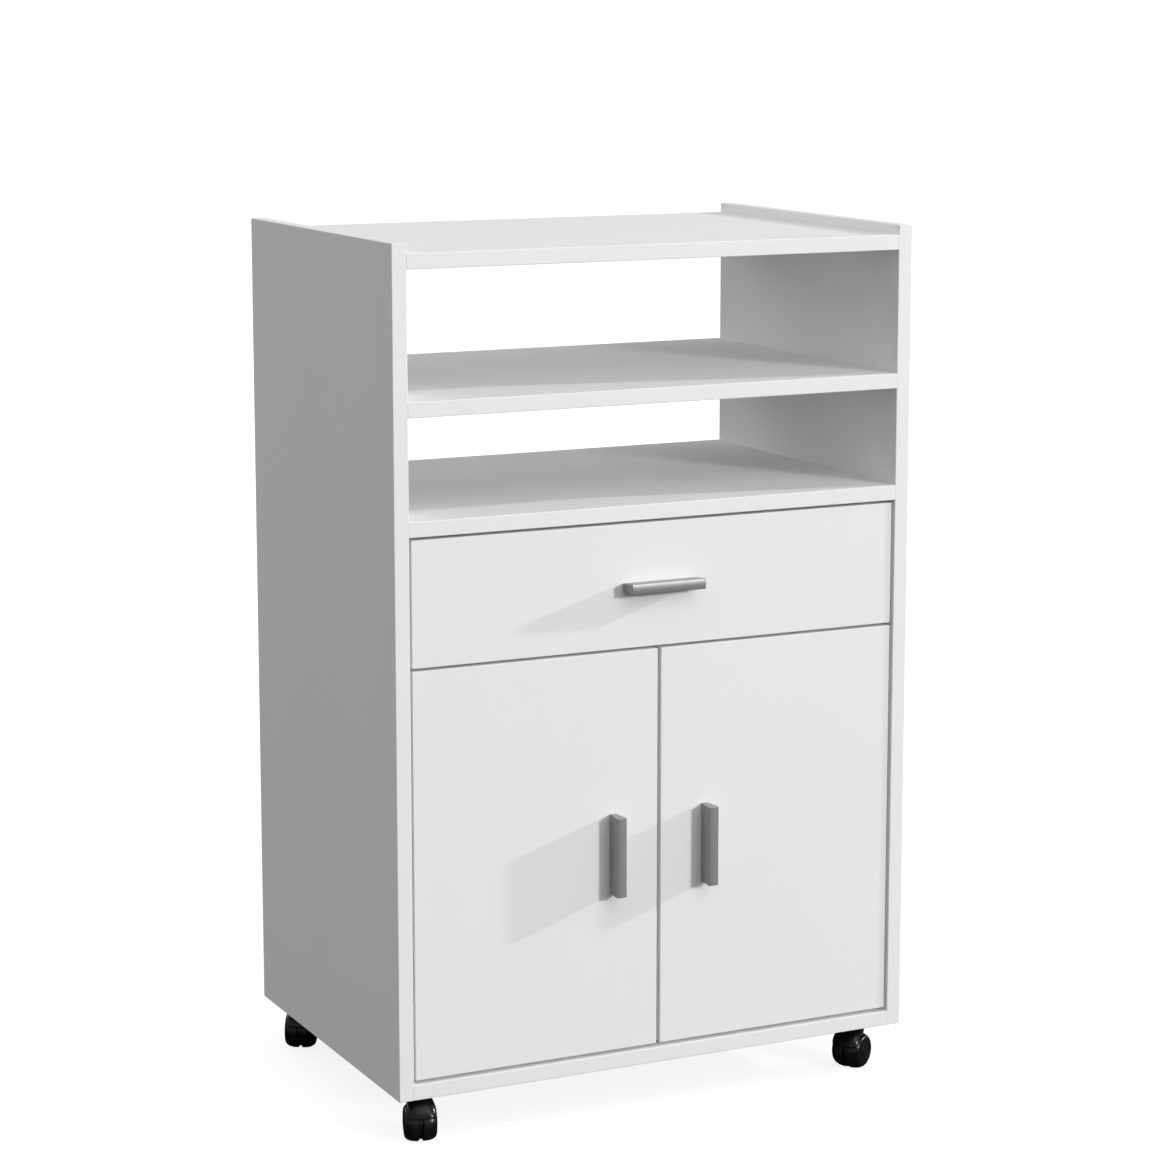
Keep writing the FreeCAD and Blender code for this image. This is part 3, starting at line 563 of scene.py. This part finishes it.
hoodLook = {
    "front": ((22.0, 47.5), (29.6, 39.2), (34.0, 30.0)),
    "flank": ((10.8, 47.5), (14.2, 41.0), (16.6, 30.0)),
    "rear": ((5.8, 47.5), (6.4, 45.5), (6.6, 43.0)),
    "taperStart": 20.0, "tailHalf": 5.5, "radii": (9.0, 16.0, 5.0), "cornerSteps": 9,
    "top": 47.5, "bottom": 29.0, "levels": 15, "crown": 1.6, "crownSteps": 5,
    "cheek": ((12.0, 38.5), (-22.5, 38.5), (-31.4, 29.0), (-31.4, 20.0), (12.0, 20.0)), "cheekReach": 20.0,
    "gap": 0.8, "trail": 13.0, "axleLevel": 20.0,
    "webHalf": 1.7, "webRadius": 18.0, "webBore": 2.55, "boreReach": 5.0, "webSteps": 60,
    "stemHalf": 11.0, "stemTop": 42.0,
    "pin": (
        (39.95, 0), (39.95, 4.05), (43.2, 4.05), (43.2, 4.55),
        (44.8, 4.55), (44.8, 4.05), (49.0, 4.05), (49.0, 0),
    ),
    "edge": 0.045, "segments": 2, "sharp": 38.0, "shortest": 0.35,
}


def through(points, level):
    # The reach at a level, on the curve through three points
    total = 0.0
    for reach, here in points:
        weight = reach
        for _, other in points:
            if other != here:
                weight *= (level - other) / (here - other)
        total += weight
    return total


def roundedCorner(before, at, after, radius, steps):
    # Points on the arc that rounds the corner
    first, second = (before - at).normalized(), (after - at).normalized()
    half = first.angle(second) / 2
    middle = at + (first + second).normalized() * (radius / math.sin(half))
    tangent = radius / math.tan(half)
    start, end = at + first * tangent - middle, at + second * tangent - middle
    return [middle + start.slerp(end, step / (steps - 1)) * radius for step in range(steps)]


def hoodRing(level, inset):
    # The outline at a level: straight flanks, which taper to the tail, with rounded corners
    look = hoodLook
    front, flank = through(look["front"], level) - inset, through(look["flank"], level) - inset
    rear = through(look["rear"], max(level, look["rear"][2][1])) - inset
    broadest, last = look["flank"][2][0], look["rear"][2][0]
    slope = (look["taperStart"] + last) / (broadest - look["tailHalf"])
    turn = Vector((flank, -look["taperStart"] + (broadest - inset - flank) * slope))
    tail = Vector((look["tailHalf"] - inset + (last - rear - inset) / slope, rear))
    right = [Vector((flank, -front)), turn, tail]
    left = [Vector((-spot.x, spot.y)) for spot in reversed(right)]
    outline = right + left
    radii = look["radii"] + look["radii"][::-1]
    ring = []
    for i, radius in enumerate(radii):
        after = outline[(i + 1) % len(outline)]
        ring += roundedCorner(outline[i - 1], outline[i], after, radius - inset, look["cornerSteps"])
    return [(spot.x * mm, spot.y * mm, level * mm) for spot in ring]


def hoodBlock():
    look = hoodLook
    side = look["top"] - look["crown"]
    rings = []
    for step in range(look["levels"]):
        rings.append((look["bottom"] + (side - look["bottom"]) * step / look["levels"], 0.0))
    for step in range(look["crownSteps"] + 1):
        angle = math.pi / 2 * step / look["crownSteps"]
        rings.append((side + look["crown"] * math.sin(angle), look["crown"] * (1 - math.cos(angle))))
    return skinned([hoodRing(level, inset) for level, inset in rings])


def prism(outline, half):
    # An outline of (y, z) in millimetres, across x from -half to half
    return skinned([[(x * mm, y * mm, z * mm) for y, z in outline] for x in (-half, half)])


def onAxle(made):
    bmesh.ops.translate(made, vec=(0, -hoodLook["trail"] * mm, hoodLook["axleLevel"] * mm), verts=made.verts)
    return made


def wheelRoom():
    # Both wheels with a gap around them
    curve = shoulderCurve(hoodLook["gap"])
    right = [(curve[0][0], 0.0)] + curve
    left = [(-x, radius) for x, radius in reversed(right)]
    return onAxle(spun(right + left, wheelLook["steps"]))


def hoodWeb():
    # The web between the wheels: a disc about the axle, with a stem up to the hood's roof
    look = hoodLook
    shoulder = math.asin(look["stemHalf"] / look["webRadius"])
    outline = [(y - look["trail"], look["stemTop"]) for y in (-look["stemHalf"], look["stemHalf"])]
    for step in range(look["webSteps"] + 1):
        angle = shoulder + (math.tau - 2 * shoulder) * step / look["webSteps"]
        y, z = look["webRadius"] * math.sin(angle), look["webRadius"] * math.cos(angle)
        outline.append((y - look["trail"], z + look["axleLevel"]))
    reach, radius = look["boreReach"], look["webBore"]
    bore = [(-reach, 0), (-reach, radius), (reach, radius), (reach, 0)]
    return carved(prism(outline, look["webHalf"]), onAxle(spun(bore, look["webSteps"])))


def collapseShort(made, length):
    # Edges shorter than this shrink to a point, always the shortest one next
    for _ in range(len(made.edges)):
        shortest = min(made.edges, key=lambda edge: edge.calc_length())
        if shortest.calc_length() >= length:
            break
        bmesh.ops.collapse(made, edges=[shortest])


def hoodShape():
    look = hoodLook
    shell = carved(carved(hoodBlock(), wheelRoom()), prism(look["cheek"], look["cheekReach"]))
    made = carved(joined(shell, hoodWeb(), "UNION"), upright(spun(look["pin"], look["webSteps"])))
    # Without the cuts' shortest edges the rest can be eased
    collapseShort(made, look["shortest"] * mm)
    eased(made, sharpEdges(made, look["sharp"]), look["edge"] * mm, look["segments"])
    return made


def dressHood(corner, shape):
    node = "caster_hood_" + corner
    # The wheels' axle shows which way the caster is turned
    axle = Vector(jointOf["caster_wheel_right_" + corner]["axis"])
    pivot = Vector(jointOf[bodyOf[node]]["pos_m"])
    made = shape.copy()
    turn = Matrix.Rotation(math.atan2(axle.y, axle.x), 4, "Z")
    bmesh.ops.transform(made, matrix=Matrix.Translation((pivot.x, pivot.y, 0)) @ turn, verts=made.verts)
    finishPiece(node, made, "black_caster", [hoodFinish], hoodLook["sharp"], False)


hoodMesh = hoodShape()
for corner in corners:
    dressHood(corner, hoodMesh)
    for side in ("left", "right"):
        dressWheel(corner, side)
hoodMesh.free()
print("Casters:", len(corners))


# Screws and cam locks, each with the recess that turns it. Lengths in millimetres.

screwLook = {
    "ring": 48, "radius": 1.75, "head": 3.5, "rim": 0.15, "pointLength": 2.5,
    "size": 2.1, "blade": 0.9, "depth": 1.5,
}
panLook = {
    "ring": 48, "radius": 2.0, "head": 4.0, "height": 2.2,
    "crown": ((0, 0), (0.05, 2.0), (0.44, 3.2), (1.1, 3.84), (1.76, 4.0)),
    "size": 2.3, "blade": 1.0, "depth": 1.6,
}
camLook = {"head": 7.5, "size": 4.2, "blade": 1.6, "depth": 1.8}
crossLook = {"taper": 0.55, "lip": 0.2}
fittingLooks = {"board": screwLook, "machine": panLook, "cam": camLook}
fittingTest = {"head": 0.1, "end": 1.0 * mm, "touch": 0.1 * mm}  # how near counts as the same


def crossCutter(look):
    # A tapered cross that points down from just above z = 0
    size, blade = look["size"] * mm, look["blade"] / 2 * mm
    arm = [Vector((size, -blade)), Vector((size, blade)), Vector((blade, blade))]
    outline = [Matrix.Rotation(math.pi / 2 * turn, 2) @ spot for turn in range(4) for spot in arm]
    levels = ((crossLook["lip"], 1.0), (-look["depth"], crossLook["taper"]))
    return skinned([[(*spot * share, z * mm) for spot in outline] for z, share in levels])


def boardScrew(length):
    # A countersunk head and a pointed end
    look, head = screwLook, screwLook["head"]
    tip = length - look["pointLength"]
    profile = [(0, 0), (0, head - look["rim"]), (-look["rim"], head), (look["radius"] - head, look["radius"])]
    profile += [(-tip, look["radius"]), (-length, 0)]
    return carved(upright(spun(profile, look["ring"])), crossCutter(look))


def machineScrew(length):
    # A crowned head and a blunt end
    look = panLook
    profile = [(-depth, radius) for depth, radius in look["crown"]]
    profile += [(-look["height"], look["head"]), (-look["height"], look["radius"])]
    profile += [(-length, look["radius"]), (-length, 0)]
    return carved(upright(spun(profile, look["ring"])), crossCutter(look))


def islands(made):
    # The separate lumps of a mesh, each as a set of its vertices
    seen = set()
    for start in made.verts:
        if start not in seen:
            found, waiting = set(), [start]
            while waiting:
                vert = waiting.pop()
                if vert not in found:
                    found.add(vert)
                    waiting += [link.other_vert(vert) for link in vert.link_edges]
            seen |= found
            yield found


def boxOf(points):
    return tuple(Vector([pick(p[axis] for p in points) for axis in range(3)]) for pick in (min, max))


def widest(points, middle, axis, level):
    # The largest distance from the axis among the points at one end
    reach = 0.0
    for point in points:
        if abs(point[axis] - level) < fittingTest["end"]:
            apart = point - middle
            apart[axis] = 0.0
            reach = max(reach, apart.length)
    return reach


def openEnd(low, high, axis):
    # The end of a cam lock that lies in a face of the board around it: -1 low, 1 high
    middle = (low + high) / 2
    for node in boards:
        boardLow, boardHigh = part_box(node)
        if all(boardLow[i] < middle[i] < boardHigh[i] for i in range(3)):
            if abs(low[axis] - boardLow[axis]) < fittingTest["touch"]:
                return -1
            if abs(high[axis] - boardHigh[axis]) < fittingTest["touch"]:
                return 1
    return 1


def placedAt(made, spot, outward):
    turn = outward.to_track_quat("Z", "Y").to_matrix().to_4x4()
    bmesh.ops.transform(made, matrix=Matrix.Translation(spot) @ turn, verts=made.verts)
    return made


def addTo(whole, made):
    mesh = meshOf(made)
    whole.from_mesh(mesh)
    bpy.data.meshes.remove(mesh)


def lump(made, verts):
    # A copy of one lump of the mesh
    alone = made.copy()
    keep = {vert.index for vert in verts}
    bmesh.ops.delete(alone, geom=[vert for vert in alone.verts if vert.index not in keep], context="VERTS")
    return alone


def fittingKind(head):
    # What a lump is, from the radius of its head in millimetres
    for kind, look in fittingLooks.items():
        if abs(head - look["head"]) < fittingTest["head"]:
            return kind
    return "plain"


def dressFittings(node):
    source, whole = cadCopy(node), bmesh.new()
    source.verts.index_update()
    for verts in islands(source):
        points = [vert.co.copy() for vert in verts]
        low, high = boxOf(points)
        size, middle = high - low, (low + high) / 2
        # Every lump is round, so its axis is the side that differs from the other two
        axis = max(range(3), key=lambda i: abs(size[i] - size[i - 1]) + abs(size[i] - size[i - 2]))
        levels = {-1: low[axis], 1: high[axis]}
        heads = {side: widest(points, middle, axis, level) / mm for side, level in levels.items()}
        side = max(heads, key=heads.get)
        kind = fittingKind(heads[side])
        if kind == "cam":
            side = openEnd(low, high, axis)
        outward, spot = Vector((0, 0, 0)), middle.copy()
        outward[axis] = side
        spot[axis] = levels[side]
        if kind == "board":
            addTo(whole, placedAt(boardScrew(size[axis] / mm), spot, outward))
        elif kind == "machine":
            addTo(whole, placedAt(machineScrew(size[axis] / mm), spot, outward))
        elif kind == "cam":
            addTo(whole, carved(lump(source, verts), placedAt(crossCutter(camLook), spot, outward)))
        else:
            addTo(whole, lump(source, verts))
    source.free()
    finishPiece(node, whole, "zinc_steel", [zincFinish])


fittings = (
    "cam_fittings", "drawer_fittings", "caster_screws", "cabinet_screws",
    "handle_screws_drawer", "handle_screws_door_left", "handle_screws_door_right",
)
for node in fittings:
    dressFittings(node)
print("Fittings:", len(fittings))


# Hardware with its edges eased: the width of the eased edge, the slot and the finish

hardwareLook = {"segments": 2, "sharp": 50.0, "smooth": 35.0}
hardware = {
    "hinge_arms": (0.5 * mm, "zinc_steel", nickelFinish),
    "hinge_plates": (0.35 * mm, "zinc_steel", nickelFinish),
    "hinge_cups_left": (0.3 * mm, "zinc_steel", nickelFinish),
    "hinge_cups_right": (0.3 * mm, "zinc_steel", nickelFinish),
    "shelf_pins": (0.4 * mm, "zinc_steel", zincFinish),
    "runner_rail_left": (0.3 * mm, "white_runner", runnerFinish),
    "runner_rail_right": (0.3 * mm, "white_runner", runnerFinish),
    "runner_slide_left": (0.3 * mm, "white_runner", runnerFinish),
    "runner_slide_right": (0.3 * mm, "white_runner", runnerFinish),
    "roller_rail_left": (0.6 * mm, "white_nylon", nylonFinish),
    "roller_rail_right": (0.6 * mm, "white_nylon", nylonFinish),
    "roller_slide_left": (0.6 * mm, "white_nylon", nylonFinish),
    "roller_slide_right": (0.6 * mm, "white_nylon", nylonFinish),
}
for corner in corners:
    hardware["caster_plate_" + corner] = (0.4 * mm, "zinc_steel", zincFinish)


def dressHardware(node, width, slotName, finish):
    made = cadCopy(node)
    eased(made, sharpEdges(made, hardwareLook["sharp"]), width, hardwareLook["segments"])
    finishPiece(node, made, slotName, [finish], hardwareLook["smooth"])


for node, (width, slotName, finish) in hardware.items():
    dressHardware(node, width, slotName, finish)
print("Hardware:", len(hardware))


# CAD nodes that stay as they are, with their finishes

carried = {
    "back_panel": hardboardFinish, "drawer_bottom": hardboardFinish,
    "dowels": dowelFinish, "hinge_pins": zincFinish,
}
for corner in corners:
    carried["caster_axle_" + corner] = zincFinish
for node, finish in carried.items():
    materials = nodes[node].data.materials
    materials.clear()
    materials.append(finish.material)
print("Carried nodes:", len(carried))


# Floor, world, lamps and camera. The camera sees a white sky and a glowing floor that fades to
# white and takes soft shadows. All other rays meet a dark floor and a dimmer sky.

studio = {
    "sky": 0.51, "floorNear": 0.86, "floorFar": 1.0, "fadeStart": 0.9, "fadeEnd": 2.4,
    "floorTint": 0.26, "floorBounce": 0.06, "floorSize": 40.0, "speckle": 3.0, "speckleDepth": 0.01,
}
lamps = {
    "keyLamp": {"azimuth": 26.0, "elevation": 15.0, "distance": 12.0, "size": 1.7, "light": 0.44},
    "sideLamp": {"azimuth": 79.4, "elevation": 17.6, "distance": 14.0, "size": 0.5, "light": 0.52},
    "frontLamp": {"azimuth": 6.0, "elevation": 38.0, "distance": 6.0, "size": 3.5, "light": 0.155},
    "backLamp": {"azimuth": 212.0, "elevation": 24.0, "distance": 8.0, "size": 4.0, "light": 0.135},
}
lampTarget = Vector((0.0, -0.18, 0.46))
lens = {
    "place": (-1.4936, -3.0843, 1.1623), "yaw": 0.45213, "pitch": 0.16467,
    "focal": 99.34, "sensor": 36.0, "drop": -0.05, "reach": 100.0,
}


def cameraRay(tree):
    # 1 for what the camera sees directly, 0 for all other light
    return tree.node("ShaderNodeLightPath", {}, {}, "Is Camera Ray")


def makeFloor():
    made = bmesh.new()
    bmesh.ops.create_grid(made, x_segments=1, y_segments=1, size=studio["floorSize"] / 2)
    floor = linked("floor", meshOf(made, "floor"))
    paint = Finish("floorPaint", {"Specular IOR Level": 0.0, "Roughness": 1.0})
    shown = cameraRay(paint)
    speckle = paint.noise(studio["speckle"]) * studio["speckleDepth"]
    tint = studio["floorBounce"] + speckle + shown * (studio["floorTint"] - studio["floorBounce"])
    paint.colour(paint.node("ShaderNodeCombineColor", {}, {"Red": tint, "Green": tint, "Blue": tint}))
    distance = paint.node("ShaderNodeVectorMath", {"operation": "LENGTH"}, {0: paint.place}, 1)
    fade = distance.band(studio["fadeStart"], studio["fadeEnd"])
    level = studio["floorNear"] + fade * (studio["floorFar"] - studio["floorNear"])
    glow = paint.node("ShaderNodeEmission", {}, {"Strength": shown * level})
    both = paint.node("ShaderNodeAddShader", {}, {0: Signal(paint, paint.shader.outputs[0]), 1: glow})
    paint.feed(paint.nodeTree.nodes["Material Output"].inputs["Surface"], both)
    floor.data.materials.append(paint.material)


def makeWorld():
    world = bpy.data.worlds.new("studioWorld")
    world.use_nodes = True
    bpy.context.scene.world = world
    tree = Tree(world.node_tree)
    shown = cameraRay(tree)
    sky = world.node_tree.nodes["Background"]
    sky.inputs["Color"].default_value = grey(1.0)
    tree.feed(sky.inputs["Strength"], studio["sky"] + shown * (1.0 - studio["sky"]))


def makeLamp(name, look):
    azimuth, elevation = math.radians(look["azimuth"]), math.radians(look["elevation"])
    level = math.cos(elevation)
    direction = Vector((math.sin(azimuth) * level, -math.cos(azimuth) * level, math.sin(elevation)))
    light = bpy.data.lights.new(name, "AREA")
    light.shape = "DISK"
    light.size = look["size"]
    # A disc of this power gives the wanted light on a white face that looks at it
    light.energy = look["light"] * math.pi ** 2 * look["distance"] ** 2
    lamp = linked(name, light)
    lamp.location = lampTarget + direction * look["distance"]
    lamp.rotation_euler = direction.to_track_quat("Z", "Y").to_euler()


def makeCamera():
    data = bpy.data.cameras.new("camera")
    data.lens = lens["focal"]
    data.sensor_width = lens["sensor"]
    data.shift_y = lens["drop"]
    data.clip_end = lens["reach"]
    camera = linked("camera", data)
    camera.location = lens["place"]
    camera.rotation_euler = (math.pi / 2 - lens["pitch"], 0.0, -lens["yaw"])
    bpy.context.scene.camera = camera


makeFloor()
makeWorld()
for name, look in lamps.items():
    makeLamp(name, look)
makeCamera()
bpy.context.scene.view_settings.view_transform = "Standard"
print("Studio: floor, world,", len(lamps), "lamps, camera")
